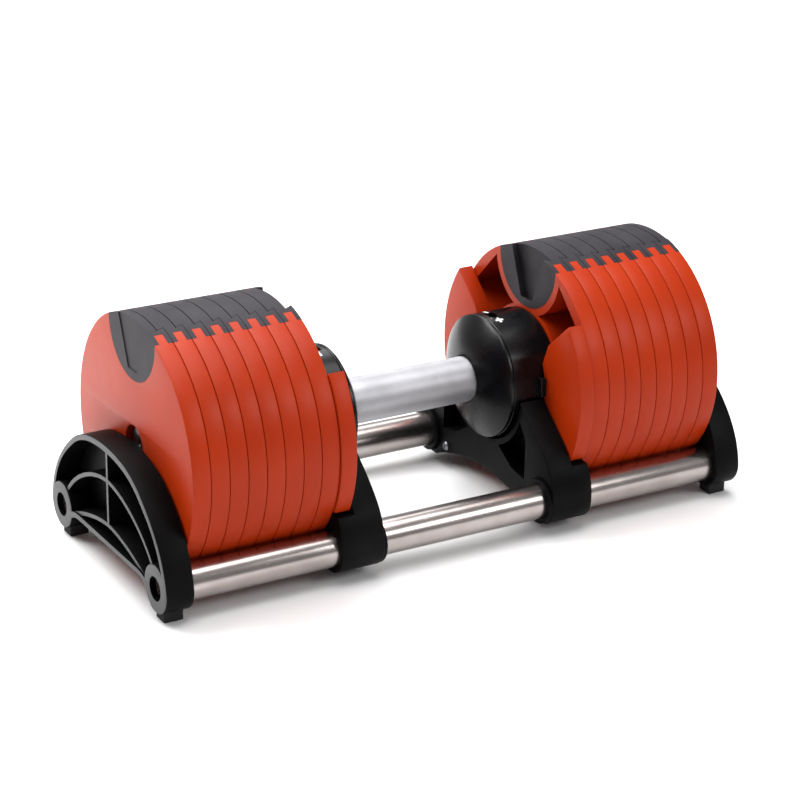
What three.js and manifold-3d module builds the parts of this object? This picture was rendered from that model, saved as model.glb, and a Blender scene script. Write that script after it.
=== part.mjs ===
// Adjustable dumbbell resting in its two-tube cradle.
//
// Turning the grip drives two rods out through the plates on each side. The rods carry every
// plate that they reach, and the other plates stay in the cradle when the handle is lifted out.
// The model stands in the cradle at the heaviest setting: both rods are fully out.
//
// Frame: millimetres, +Z up, origin on the floor under the middle of the cradle, +X along the
// handle. Each side is drawn once, on +X, and turned half a turn about Z for the other side.
// Outlines are drawn in (y, z) planes measured from the handle axis.

import * as THREE from 'three';
import { mergeVertices } from 'three/addons/utils/BufferGeometryUtils.js';
import Module from 'manifold-3d';

const wasm = await Module();
wasm.setup();

// ---------------------------------------------------------------- driving dimensions

// Facets of round pieces
const plateSides = 32;
const insertSides = 20;
const hubSides = 24;
const barSides = 24;
const holeSides = 16;
const screwSides = 8;
const saddleSides = 32;

// Gaps
const restGap = 0.4; // between pieces that lie or stand against each other
const fitGap = 0.3; // around a piece that sits inside another
const rodGap = 1.4; // around a rod in the holes of the plates
const cutSlack = 1; // how far a cutting shape stands out of what it cuts
const joinOverlap = 0.01; // shared depth of two shapes joined into one piece

// Weight plates
const plateRadius = 90;
const plateThickness = 13.1;
const plateCount = 8;

// Plastic inserts in the tops of the plates
const insertRadius = 36;
const insertDrop = 7.5; // from the top of the plate down to the centre of the insert's round outline
const flangeThickness = 3.3;
const waistHalfWidth = 27.4;
const waistStep = 1.5; // how much lower the flange reaches than the waist
const tongueDepth = 5.2;
const tongueTopHalfWidth = 22.5;
const tongueFootHalfWidth = 6.5;
const tongueFootWall = 0.5; // plastic left between the tongue's slot and the foot of the waist
const tongueFlare = 2.6; // how much wider the tip of the tongue is on each side
const tongueRunOut = 4; // how far the tongue is drawn past the rim before the rim trims it
const coverPocketDepth = 0.8;

// Windows beside the insert in all plates but the outer ones
const windowWeb = 5.5; // steel left between window and insert
const windowRim = 8.5; // steel left between window and rim
const windowLowAngle = 31;
const windowHighAngle = 78;
const windowRimAngle = 45; // direction square to the window's straight outer edge

// Grip and drive
const gripRadius = 16.5;
const gripHalfLength = 50; // part between the two hub caps
const gripWall = 2.5;
const guideWall = 1.2;
const guideInset = 1.6; // from the hub's outer end to the end of the guide tube
const rodRecess = 4; // from the outer plate's face to the rod's end
const rodChamfer = 1;
const degreesPerStep = 40;
const pinRadius = 2.3;
const pinSeat = 0.8; // from the rod's surface out to the centre of the pin's round end
const grooveGap = 0.5; // between the pin and the sides of its groove
const grooveEndExtra = 0.1; // how much wider a groove is where it ends
const pinInset = 4.4; // from the rod's inner end to the pin
const pinRoot = 6; // from the handle axis to the root of the pin, inside the rod
const halfRoundExtra = 2; // how much further than the other rod's reach a rod stays half round

// Hubs
const hubRadius = 44.8;
const hubWall = 2.6;
const hubLength = 35.3;
const capDepth = 14.7;
const capRimDepth = 2.4;
const capWall = 3;
const hubFloorThickness = 4;
const hubNeckWall = 4.1;
const numberWindow = { start: 3.4, length: 7, halfWidth: 5 };
const lug = { thickness: 4.3, reach: 4.4, low: -3.5, high: 10 };

// Number dial with its lock wheel
const dialStart = 1.2; // from the hub's open end
const dialFloorGap = 2.5; // between the dial and the hub's inner floor
const dialSleeve = 3.2;
const dialFit = 0.05; // between the grip and the flats of the dial's bore
const drumInset = 0.8; // from the sleeve's outer end to the drum
const drumLength = 9;
const drumWall = 2.5;
const drumWeb = 3;
const wheelThickness = 2.8;
const drumWheelGap = 1.3;
const wheelLip = 1.1; // from the lock wheel to the sleeve's inner end
const notchDepth = 5;
const notchHalfWidth = 3.2;

// Lock yoke
const yokeThickness = 3.4;
const yokeTravel = 4.5;
const yokeClear = 0.5;
const yokeRing = 3.4; // width of the ring at the tooth
const yokeFootReach = 0.6; // how far the foot stands out of the hub
const toothGap = 0.7; // between the raised tooth and the lock wheel
const yokeFootHalfWidth = 3.2;
const toothHalfWidth = 2.6;

// End weights (the two ears beside each hub)
const endWeightThickness = 12;
const endWeightRim = 1.5; // larger than a plate's radius by this much
const endWeightHubGap = 1.2;
const endWeightGap = 0.6; // between the end weight and the saddle
const endWeightDepth = 7; // lower edge, above the tube's centre line
const bridgeGap = 0.7; // between the bridge and the ledges on both sides of it
const ear = { rimAngle: 37.7, innerAngle: 35.5, step: 13.5, hubAngle: 24, throatAngle: 16 };

// Cradle
const floorClearance = 2.5; // under the plates
const tubeRadius = 12.7;
const tubeWall = 1.5;
const tubeAngle = 42.1; // below level, seen from the handle axis
const bossWall = 4;
const bossSink = 0.5; // how much smaller a boss is than the outline around it
const saddleThickness = 20;
const saddleGap = 2.2; // between hub and saddle
const saddlePeakAngle = 7;
const ledgeRise = 27.7; // from the tube's centre up to the ledge under the end weight
const collarLength = 3;
const saddleArm = { shoulderInset: 8.5, shoulderRise: 43, hipRise: 31, straightRise: 3 };
const webThickness = 8;
const archRise = 14; // from the foot's underside up to the middle of the arch
const archFootInset = 10.5; // from the tube's centre to the inner edge of the foot
const archShoulder = 3;
const bandHeight = 17; // solid band between arch and pocket
const pocket = { lip: 4.5, from: 293, to: 337, armWall: 4, armRise: 24, armDrop: 6, kneeDrop: 3.5 };
const bossCorner = 6;
const postHalfWidth = 3;
const endBracketThickness = 20.4;
const endBracketGap = 1.6;
const endBracketTop = 3.5; // above the handle axis
const endBracketWall = 3;
const endRimWall = 4;
const ribWall = 3;
const ribSetback = 1.5;
const ribSink = 0.5; // how far ribs and bosses run into the bracket's wall
const bossEndWall = 4.6;
const bossEyeLip = 4.2; // how far the boss reaches in over the tube's end
const shoulder = { halfWidth: 56, drop: 15.5, angle: 52, leadIn: 17.8, leadOut: 11.4, crown: 22 };
const hip = { inset: 2.5, rise: 31 };
const endArch = { underDrop: 1, footAngle: 115, kneeInset: 14.5, crownInset: 28 };
const pad = { length: 14, width: 12, sunk: 1.8, leastShow: 2.2 };
const screw = { headRadius: 3.4, headHeight: 2, shankRadius: 1.8, shankLength: 9, inset: 26.5, drop: 5 };

// Ribs of the end bracket, as [inset from the tube's centre line, rise above it]
const topRibPoints = [[7, 13], [23, 33]];
const topRibCrown = { halfWidth: 20, rise: 46.5 };
const lowRibPoints = [[12, -3], [36, 8.5]];
const lowRibRise = 14;

// ---------------------------------------------------------------- worked out from these

const pitch = plateThickness + restGap;
const travel = plateCount * pitch;
const turn = degreesPerStep * plateCount;
const capStart = gripHalfLength + fitGap;
const hubStart = capStart + capDepth + fitGap;
const drumStart = hubStart + dialStart + drumInset;
const drumEnd = drumStart + drumLength;
const wheelStart = drumEnd + drumWheelGap;
const wheelEnd = wheelStart + wheelThickness;
const dialEnd = wheelEnd + wheelLip;
const hubFloor = dialEnd + dialFloorGap;
const hubEnd = hubStart + hubLength;
const stackStart = hubEnd + restGap;
const stackEnd = stackStart + travel - restGap;
const gripBore = gripRadius - gripWall;
const guideRadius = gripBore - restGap;
const guideBore = guideRadius - guideWall;
const guideEnd = hubEnd - guideInset;
const rodRadius = guideBore - restGap;
const plateHoleRadius = rodRadius + rodGap;
const rodTip = stackEnd - rodRecess;
const rodTail = travel / 2 - pinInset;
const halfRoundEnd = travel + (travel / 2 + pinInset) + halfRoundExtra;
const pinCentre = rodRadius + pinSeat;
const cavityRadius = hubRadius - hubWall;
const yokeStart = wheelStart + (wheelThickness - yokeThickness) / 2;
const yokeRadius = cavityRadius - 2 * restGap;
const yokeOpening = yokeRadius - yokeTravel - yokeRing;
const wheelRadius = yokeOpening - yokeClear;
const yokeFootLevel = -(hubRadius + yokeFootReach);
const endWeightStart = hubEnd - endWeightThickness;
const endWeightRadius = plateRadius + endWeightRim;
const endWeightHole = hubRadius + endWeightHubGap;
const saddleEnd = endWeightStart - endWeightGap;
const saddleStart = saddleEnd - saddleThickness;
const saddleRadius = hubRadius + saddleGap;
const tubeReach = plateRadius + restGap + tubeRadius;
const tubeY = tubeReach * Math.cos(THREE.MathUtils.degToRad(tubeAngle));
const tubeZ = -tubeReach * Math.sin(THREE.MathUtils.degToRad(tubeAngle));
const tubeBore = tubeRadius + fitGap;
const bossRadius = tubeBore + bossWall;
const footZ = tubeZ - bossRadius;
const axisHeight = Math.max(plateRadius + floorClearance, pad.leastShow - footZ);
const bossEyeRadius = tubeRadius - bossEyeLip;
const ledgeZ = tubeZ + ledgeRise;
const ledgeInner = tubeY - bossRadius + bossSink;
const endBracketStart = stackEnd + endBracketGap;
const endBracketEnd = endBracketStart + endBracketThickness;
const tubeHalfLength = endBracketEnd - bossEndWall - fitGap;
const insertZ = plateRadius - insertDrop;
const tongueTopZ = plateRadius + tongueRunOut;
const waistRadius = insertRadius - waistStep;
const waistFlats = waistRadius * Math.cos(Math.PI / insertSides);
const slotGap = fitGap + (tongueFlare * (restGap + fitGap)) / tongueDepth;
const slotTipHalfWidth = tongueFootHalfWidth + tongueFlare + slotGap;
const waistFootZ = insertZ - Math.sqrt(waistFlats ** 2 - slotTipHalfWidth ** 2);
const tongueFootZ = waistFootZ + tongueFootWall + slotGap + tongueFlare;

// ---------------------------------------------------------------- materials

function material(color, roughness, metalness) {
  return new THREE.MeshStandardMaterial({ color, roughness, metalness });
}
const redCoat = material('#c5361b', 0.45, 0.1);
const insertPlastic = material('#3c393e', 0.7, 0);
const blackPlastic = material('#17171a', 0.5, 0);
const glossPlastic = material('#0d0d10', 0.25, 0);
const polishedSteel = material('#d2cbc6', 0.15, 1);
const knurledSteel = material('#bfbfc1', 0.5, 0.8);
const plainSteel = material('#a9abae', 0.35, 1);
const zincScrew = material('#8b8d90', 0.4, 1);
const dialPlastic = material('#1c1c20', 0.6, 0);
const lockPlastic = material('#b9b7b0', 0.6, 0);
const rubber = material('#111112', 0.9, 0);

// ---------------------------------------------------------------- shape helpers

const radians = THREE.MathUtils.degToRad;

// Turns a shape drawn in three.js's XY plane into the (y, z) plane, with its depth along +X
const alongX = new THREE.Matrix4().makeBasis(
  new THREE.Vector3(0, 1, 0),
  new THREE.Vector3(0, 0, 1),
  new THREE.Vector3(1, 0, 0),
);

// Points along an arc in the (y, z) plane, angles in degrees from +Y towards +Z
function arc(y, z, radius, from, to, steps) {
  return Array.from({ length: steps + 1 }, (_, i) => {
    const angle = radians(from + ((to - from) * i) / steps);
    return new THREE.Vector2(y + radius * Math.cos(angle), z + radius * Math.sin(angle));
  });
}

const circle = (y, z, radius, sides) => arc(y, z, radius, 0, 360, sides).slice(0, -1);

const points = (...pairs) => pairs.map(([y, z]) => new THREE.Vector2(y, z));

function bezier(start, firstHandle, secondHandle, end, steps) {
  return new THREE.CubicBezierCurve(...points(start, firstHandle, secondHandle, end)).getPoints(steps);
}

// The same outline on the other side of the handle, still drawn the same way round
const flipped = (outline) => outline.map((p) => new THREE.Vector2(-p.x, p.y)).reverse();

// Full outline from the half on +Y, drawn from its top to its bottom
function mirrored(half) {
  return [...half, ...flipped(half.filter((p) => p.x > 0))];
}

// three.js geometry to a manifold solid
function solid(geometry) {
  geometry.deleteAttribute('normal');
  geometry.deleteAttribute('uv');
  const merged = mergeVertices(geometry, 1e-4);
  const corners = merged.index.array;
  const kept = [];
  for (let i = 0; i < corners.length; i += 3) {
    const [a, b, c] = corners.slice(i, i + 3);
    if (a !== b && b !== c && c !== a) kept.push(a, b, c);
  }
  const vertProperties = new Float32Array(merged.attributes.position.array);
  return new wasm.Manifold(new wasm.Mesh({ numProp: 3, vertProperties, triVerts: new Uint32Array(kept) }));
}

// A (y, z) outline carried along X from start to end
function prism(outline, start, end, holes = []) {
  const shape = new THREE.Shape(outline);
  shape.holes = holes.map((hole) => new THREE.Path(hole));
  const geometry = new THREE.ExtrudeGeometry(shape, { depth: end - start, bevelEnabled: false });
  geometry.applyMatrix4(alongX).translate(start, 0, 0);
  return solid(geometry);
}

// A closed (x, radius) profile turned about the handle axis, drawn with its outer side towards +X
function turned(profile, sides) {
  const outline = [...profile, profile[0]].map(([x, radius]) => new THREE.Vector2(radius, x));
  return solid(new THREE.LatheGeometry(outline, sides).rotateZ(-Math.PI / 2));
}

// A tube on the handle axis, halfLength to each side of the middle
function pipe(halfLength, radius, bore) {
  const profile = [[-halfLength, radius], [halfLength, radius], [halfLength, bore], [-halfLength, bore]];
  return turned(profile, barSides);
}

// A box given by its limits on X, Y and Z
function block([x0, x1], [y0, y1], [z0, z1]) {
  const geometry = new THREE.BoxGeometry(x1 - x0, y1 - y0, z1 - z0);
  return solid(geometry.translate((x0 + x1) / 2, (y0 + y1) / 2, (z0 + z1) / 2));
}

const cylinder = (y, z, radius, start, end, sides) => prism(circle(y, z, radius, sides), start, end);

// A band of even thickness along a smooth centre line
function band(centre, thickness, start, end) {
  const curve = new THREE.SplineCurve(points(...centre));
  const steps = 10;
  const near = [];
  const far = [];
  for (let i = 0; i <= steps; i += 1) {
    const place = curve.getPoint(i / steps);
    const along = curve.getTangent(i / steps);
    const across = new THREE.Vector2(-along.y, along.x).multiplyScalar(thickness / 2);
    near.push(place.clone().sub(across));
    far.unshift(place.clone().add(across));
  }
  return prism([...near, ...far], start, end);
}

function named(name, shape, look) {
  const { vertProperties, triVerts } = shape.getMesh();
  const geometry = new THREE.BufferGeometry();
  geometry.setAttribute('position', new THREE.BufferAttribute(vertProperties, 3));
  geometry.setIndex(new THREE.BufferAttribute(triVerts, 1));
  geometry.computeVertexNormals();
  const mesh = new THREE.Mesh(geometry, look);
  mesh.name = name;
  return mesh;
}

// ---------------------------------------------------------------- plates and inserts

// The insert's room in a plate, or the insert itself when grown is 0: wide flanges on both faces
// and a narrower waist between them, so that plate and insert hold each other
function insertBody(start, grown) {
  const end = start + plateThickness;
  const flange = circle(0, insertZ, insertRadius + grown, insertSides);
  const waistArc = circle(0, insertZ, waistRadius + grown, insertSides);
  const halfWidth = waistHalfWidth + grown;
  const waist = prism(waistArc, start + flangeThickness / 2, end - flangeThickness / 2).intersect(
    block([start, end], [-halfWidth, halfWidth], [0, plateRadius + cutSlack]),
  );
  const inner = prism(flange, start - grown, start + flangeThickness + grown);
  const outer = prism(flange, end - flangeThickness - grown, end + grown);
  return waist.add(inner).add(outer);
}

// The V-shaped dovetail tongue: narrow at its foot, so that a plate drops into place, and wider
// at its tip, so that neighbouring plates cannot come apart along the handle
function tongue(start, depth, grown) {
  const top = tongueTopHalfWidth + grown;
  const foot = tongueFootHalfWidth + grown;
  const footZ = tongueFootZ - grown;
  const shape = new THREE.Shape(points([-foot, footZ], [foot, footZ], [top, tongueTopZ], [-top, tongueTopZ]));
  const geometry = new THREE.ExtrudeGeometry(shape, {
    depth: 1,
    bevelThickness: depth,
    bevelSize: tongueFlare,
    bevelSegments: 1,
  });
  geometry.applyMatrix4(alongX).translate(start + depth, 0, 0);
  const reach = 2 * plateRadius;
  return solid(geometry).intersect(block([start, start + depth], [-reach, reach], [0, reach]));
}

function plate(index) {
  const start = stackStart + index * pitch;
  const end = start + plateThickness;
  const hole = circle(0, 0, plateHoleRadius, holeSides);
  const disc = prism(circle(0, 0, plateRadius, plateSides), start, end, [hole]);
  const cut = disc.subtract(insertBody(start, fitGap));
  if (index === plateCount - 1) return cut;
  return cut.subtract(windows(start - cutSlack, end + cutSlack));
}

// The two windows of a plate, between hub, insert and rim
function windows(start, end) {
  const chord = plateRadius - windowRim;
  const chordPoint = (angle) => {
    const radius = chord / Math.cos(radians(angle - windowRimAngle));
    return [radius * Math.cos(radians(angle)), radius * Math.sin(radians(angle))];
  };
  const inner = arc(0, 0, saddleRadius, windowHighAngle, windowLowAngle, 3);
  const half = [...inner, ...points(chordPoint(windowLowAngle), chordPoint(windowHighAngle))];
  const webRadius = insertRadius + windowWeb;
  const web = cylinder(0, insertZ, webRadius, start - cutSlack, end + cutSlack, insertSides);
  return prism(half, start, end).add(prism(flipped(half), start, end)).subtract(web);
}

function insert(index) {
  const start = stackStart + index * pitch;
  const end = start + plateThickness;
  const rimOutline = circle(0, 0, plateRadius, plateSides);
  const rim = prism(rimOutline, start - cutSlack, end + tongueDepth + cutSlack);
  const slot = tongue(start - joinOverlap, tongueDepth + fitGap, slotGap);
  const body = insertBody(start, 0).subtract(slot);
  if (index < plateCount - 1) {
    return body.add(tongue(end - joinOverlap, tongueDepth, 0)).intersect(rim);
  }
  const coverPocket = tongue(end - coverPocketDepth, coverPocketDepth + cutSlack, 0);
  return body.subtract(coverPocket).intersect(rim);
}

// ---------------------------------------------------------------- handle and drive

// One helical groove for a drive pin; hand is +1 for the right rod's groove and -1 for the left's
function helicalGroove(hand) {
  class Helix extends THREE.Curve {
    getPoint(t) {
      const angle = (hand > 0 ? Math.PI : 0) + radians(turn) * t;
      const x = (hand * travel * (1 - 2 * t)) / 2;
      return new THREE.Vector3(x, pinCentre * Math.cos(angle), pinCentre * Math.sin(angle));
    }
  }
  const section = new THREE.Shape(circle(0, 0, pinRadius + grooveGap, 8));
  return solid(new THREE.ExtrudeGeometry(section, { steps: 24, extrudePath: new Helix() }));
}

// Round pocket at each end of the grooves, where the pin stops
function grooveEnd(hand, travelled) {
  const angle = (hand > 0 ? Math.PI : 0) + radians(turn) * travelled;
  const ball = new THREE.SphereGeometry(pinRadius + grooveGap + grooveEndExtra, 8, 6);
  const x = (hand * travel * (1 - 2 * travelled)) / 2;
  return solid(ball.translate(x, pinCentre * Math.cos(angle), pinCentre * Math.sin(angle)));
}

function grip() {
  let body = pipe(dialEnd, gripRadius, gripBore);
  for (const hand of [1, -1]) {
    body = body.subtract(helicalGroove(hand));
    body = body.subtract(grooveEnd(hand, 0));
    body = body.subtract(grooveEnd(hand, 1));
  }
  return body;
}

// Fixed tube that joins the hubs; its two straight slots keep the rods from turning
function guideTube() {
  const slotEnd = travel / 2 + pinRadius + restGap;
  const slotHalfWidth = pinRadius + restGap;
  const slots = block([-slotEnd, slotEnd], [-gripRadius, gripRadius], [-slotHalfWidth, slotHalfWidth]);
  return pipe(guideEnd, guideRadius, guideBore).subtract(slots);
}

// Half round where it overlaps the other rod inside the handle, full round at its nose
function rod() {
  const profile = [
    [rodTail, 0],
    [rodTail, rodRadius],
    [rodTip - rodChamfer, rodRadius],
    [rodTip, rodRadius - rodChamfer],
    [rodTip, 0],
  ];
  const outside = rodRadius + cutSlack;
  const half = block([rodTail - cutSlack, halfRoundEnd], [-restGap / 2, outside], [-outside, outside]);
  const pinX = travel / 2;
  const stem = new THREE.CylinderGeometry(pinRadius, pinRadius, pinCentre - pinRoot, 10);
  const tip = new THREE.SphereGeometry(pinRadius, 10, 8);
  stem.translate(pinX, -(pinCentre + pinRoot) / 2, 0);
  tip.translate(pinX, -pinCentre, 0);
  return turned(profile, barSides).subtract(half).add(solid(stem)).add(solid(tip));
}

// ---------------------------------------------------------------- hubs

// Domed cap: two concentric spheres through the grip's bore and the rim
function hubCap() {
  const bore = gripRadius + restGap;
  const rimStart = capStart + capDepth - capRimDepth;
  const rise = rimStart - capStart;
  const offset = (hubRadius ** 2 - bore ** 2 + rise ** 2) / (2 * rise);
  const centre = capStart + offset;
  const sphere = Math.hypot(offset, bore);
  const skin = (radius, r) => [centre - Math.sqrt(radius ** 2 - r ** 2), r];
  const inside = hubRadius - capWall;
  const steps = 3;
  const outer = [];
  const inner = [];
  for (let i = 0; i <= steps; i += 1) {
    outer.push(skin(sphere, bore + ((hubRadius - bore) * i) / steps));
    inner.unshift(skin(sphere - capWall, bore + ((inside - bore) * i) / steps));
  }
  const capEnd = capStart + capDepth;
  return turned([...outer, [capEnd, hubRadius], [capEnd, inside], ...inner], hubSides);
}

// Cup around the dial and the lock yoke, with a neck that holds the guide tube
function hubHousing() {
  const floorEnd = hubFloor + hubFloorThickness;
  const bore = guideRadius + fitGap;
  const cup = turned(
    [
      [hubStart, hubRadius],
      [hubEnd, hubRadius],
      [hubEnd, cavityRadius],
      [floorEnd, cavityRadius],
      [floorEnd, bore + hubNeckWall],
      [hubEnd, bore + hubNeckWall],
      [hubEnd, bore],
      [hubFloor, bore],
      [hubFloor, cavityRadius],
      [hubStart, cavityRadius],
    ],
    hubSides,
  );
  const windowStart = hubStart + numberWindow.start;
  const opening = block(
    [windowStart, windowStart + numberWindow.length],
    [-numberWindow.halfWidth, numberWindow.halfWidth],
    [cavityRadius / 2, hubRadius + cutSlack],
  );
  const footSlot = block(
    [yokeStart - fitGap, yokeStart + yokeThickness + fitGap],
    [-yokeFootHalfWidth - fitGap, yokeFootHalfWidth + fitGap],
    [-hubRadius - cutSlack, -cavityRadius / 2],
  );
  const lugs = [-1, 1].map((side) => {
    const middle = side * (hubRadius + (lug.reach - hubWall / 2) / 2);
    const halfWidth = (lug.reach + hubWall / 2) / 2;
    const lugEnd = endWeightStart - fitGap;
    const across = [middle - halfWidth, middle + halfWidth];
    return block([lugEnd - lug.thickness, lugEnd], across, [lug.low, lug.high]);
  });
  return cup.subtract(opening).subtract(footSlot).add(lugs[0]).add(lugs[1]);
}

// Number drum and notched lock wheel on one sleeve, fixed to the grip's end
function dial() {
  const sides = 2 * (plateCount + 1);
  const bore = gripRadius / Math.cos(Math.PI / sides) + dialFit;
  const sleeve = bore + dialSleeve;
  const start = hubStart + dialStart;
  const drum = cavityRadius - restGap - fitGap;
  const body = turned(
    [
      [start, sleeve],
      [drumEnd - drumWeb, sleeve],
      [drumEnd - drumWeb, drum - drumWall],
      [drumStart, drum - drumWall],
      [drumStart, drum],
      [drumEnd, drum],
      [drumEnd, sleeve],
      [wheelStart, sleeve],
      [wheelStart, wheelRadius],
      [wheelEnd, wheelRadius],
      [wheelEnd, sleeve],
      [dialEnd, sleeve],
      [dialEnd, bore],
      [start, bore],
    ],
    sides,
  );
  let cut = body;
  for (let step = 0; step <= plateCount; step += 1) {
    const notch = new THREE.BoxGeometry(
      wheelThickness + 2 * fitGap,
      2 * notchHalfWidth,
      notchDepth + 2 * cutSlack,
    );
    notch.translate(wheelStart + wheelThickness / 2, 0, wheelRadius + cutSlack - notchDepth / 2);
    notch.rotateX(radians(step * degreesPerStep));
    cut = cut.subtract(solid(notch));
  }
  return cut;
}

// Flat ring around the lock wheel: its tooth drops into a notch when its foot is free to come
// down, and the post in the saddle holds it up while the handle stands in the cradle
function lockYoke() {
  const end = yokeStart + yokeThickness;
  const meet = THREE.MathUtils.radToDeg(Math.asin(yokeTravel / 2 / yokeRadius));
  const outline = [
    ...arc(0, 0, yokeRadius, meet, 180 - meet, 12),
    ...arc(0, yokeTravel, yokeRadius, 180 + meet, 360 - meet, 12).slice(1, -1),
  ];
  const opening = [
    ...arc(0, yokeTravel, yokeOpening, 0, 180, 10),
    ...arc(0, 0, yokeOpening, 180, 360, 10),
  ];
  const tooth = block(
    [yokeStart, end],
    [-toothHalfWidth, toothHalfWidth],
    [wheelRadius + toothGap, yokeOpening + yokeTravel + cutSlack],
  );
  const footTop = -yokeOpening - cutSlack;
  const foot = block([yokeStart, end], [-yokeFootHalfWidth, yokeFootHalfWidth], [yokeFootLevel, footTop]);
  return prism(outline, yokeStart, end, [opening]).add(tooth).add(foot);
}

// Horseshoe casting: two ears beside the hub and a bridge below it
function endWeight() {
  const lowZ = tubeZ + endWeightDepth;
  const ledgeTop = ledgeZ + restGap;
  const bridgeHalf = ledgeInner - bridgeGap;
  const ledgeAngle = THREE.MathUtils.radToDeg(Math.asin(ledgeTop / endWeightRadius));
  const onCircle = (radius, angle) => [radius * Math.cos(radians(angle)), radius * Math.sin(radians(angle))];
  const half = [
    ...points(onCircle(endWeightHole, ear.throatAngle), onCircle(endWeightHole, ear.hubAngle)),
    ...points(onCircle(endWeightHole + ear.step, ear.innerAngle)),
    ...arc(0, 0, endWeightRadius, ear.rimAngle, ledgeAngle, 8),
    ...points([bridgeHalf, ledgeTop], [bridgeHalf, lowZ]),
  ];
  const throat = arc(0, 0, endWeightHole, 180 - ear.throatAngle, 360 + ear.throatAngle, 16).slice(1, -1);
  return prism([...half, ...flipped(half), ...throat], endWeightStart, hubEnd);
}

// ---------------------------------------------------------------- cradle

function cradleTube(side) {
  const outside = circle(side * tubeY, tubeZ, tubeRadius, barSides);
  const inside = circle(side * tubeY, tubeZ, tubeRadius - tubeWall, barSides);
  return prism(outside, -tubeHalfLength, tubeHalfLength, [inside]);
}

// Inner bracket: saddle under the hub, with ledges beyond it that carry the end weight
function saddleBracket() {
  const peak = radians(-saddlePeakAngle);
  const outerY = tubeY + bossRadius;
  const archZ = footZ + archRise;
  const side = bezier(
    [saddleRadius * Math.cos(peak), saddleRadius * Math.sin(peak)],
    [tubeY - saddleArm.shoulderInset, tubeZ + saddleArm.shoulderRise],
    [outerY, tubeZ + saddleArm.hipRise],
    [outerY, tubeZ + saddleArm.straightRise],
    8,
  );
  const foot = arc(tubeY, tubeZ, bossRadius, 0, -90, 6);
  const arch = new THREE.QuadraticBezierCurve(
    ...points([tubeY - archFootInset, footZ], [tubeY / 2 - archShoulder, archZ], [0, archZ]),
  );
  const half = [...side, ...foot, ...arch.getPoints(6)];
  const seat = arc(0, 0, saddleRadius, 180 + saddlePeakAngle, 360 - saddlePeakAngle, 16).slice(1, -1);
  const body = prism([...mirrored(half), ...seat], saddleStart, saddleEnd);

  const bossHalf = [...points([ledgeInner, ledgeZ]), ...side.filter((p) => p.y < ledgeZ), ...foot];
  const bossFoot = points([ledgeInner + bossCorner, footZ], [ledgeInner, footZ + bossCorner]);
  const bossOutline = [...bossHalf, ...bossFoot];
  const collarStart = saddleStart - collarLength;
  const screwHoleRadius = screw.shankRadius + fitGap;
  const screwHoleEnd = saddleStart + screw.shankLength + cutSlack;

  let bracket = body;
  bracket = bracket.add(prism(bossOutline, saddleEnd - joinOverlap, hubEnd));
  bracket = bracket.add(prism(flipped(bossOutline), saddleEnd - joinOverlap, hubEnd));
  for (const direction of [-1, 1]) {
    const y = direction * tubeY;
    const screwY = direction * (tubeY - screw.inset);
    const screwZ = tubeZ - screw.drop;
    bracket = bracket.add(
      cylinder(y, tubeZ, bossRadius - bossSink, collarStart, saddleStart + cutSlack, holeSides),
    );
    bracket = bracket.subtract(
      cylinder(y, tubeZ, tubeBore, collarStart - cutSlack, hubEnd + cutSlack, barSides),
    );
    bracket = bracket.subtract(saddlePocket(direction));
    bracket = bracket.subtract(
      cylinder(screwY, screwZ, screwHoleRadius, saddleStart - cutSlack, screwHoleEnd, screwSides),
    );
  }
  const post = block(
    [yokeStart, yokeStart + yokeThickness],
    [-postHalfWidth, postHalfWidth],
    [-saddleRadius - cutSlack, yokeFootLevel - restGap],
  );
  return bracket.add(post);
}

// Recess in the saddle's inner face, between the seat, the arm and the band over the arch
function saddlePocket(side) {
  const bandZ = tubeZ - bossRadius + archRise + bandHeight;
  const lipRadius = saddleRadius + pocket.lip;
  const armY = tubeY - bossRadius - pocket.armWall;
  const seatEnds = arc(0, 0, lipRadius, pocket.to, pocket.from, 1);
  const knee = points([tubeY / 2, bandZ - pocket.kneeDrop], [armY, bandZ - pocket.armDrop]);
  const corners = [...seatEnds, ...knee, ...points([armY, bandZ + pocket.armRise])];
  const start = saddleStart - cutSlack;
  const end = saddleEnd - webThickness;
  const seat = cylinder(0, 0, lipRadius, start - cutSlack, end + cutSlack, saddleSides);
  const room = [start, end].flatMap((x) => corners.map((p) => [x, side * p.x, p.y]));
  return wasm.Manifold.hull(room).subtract(seat);
}

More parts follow.
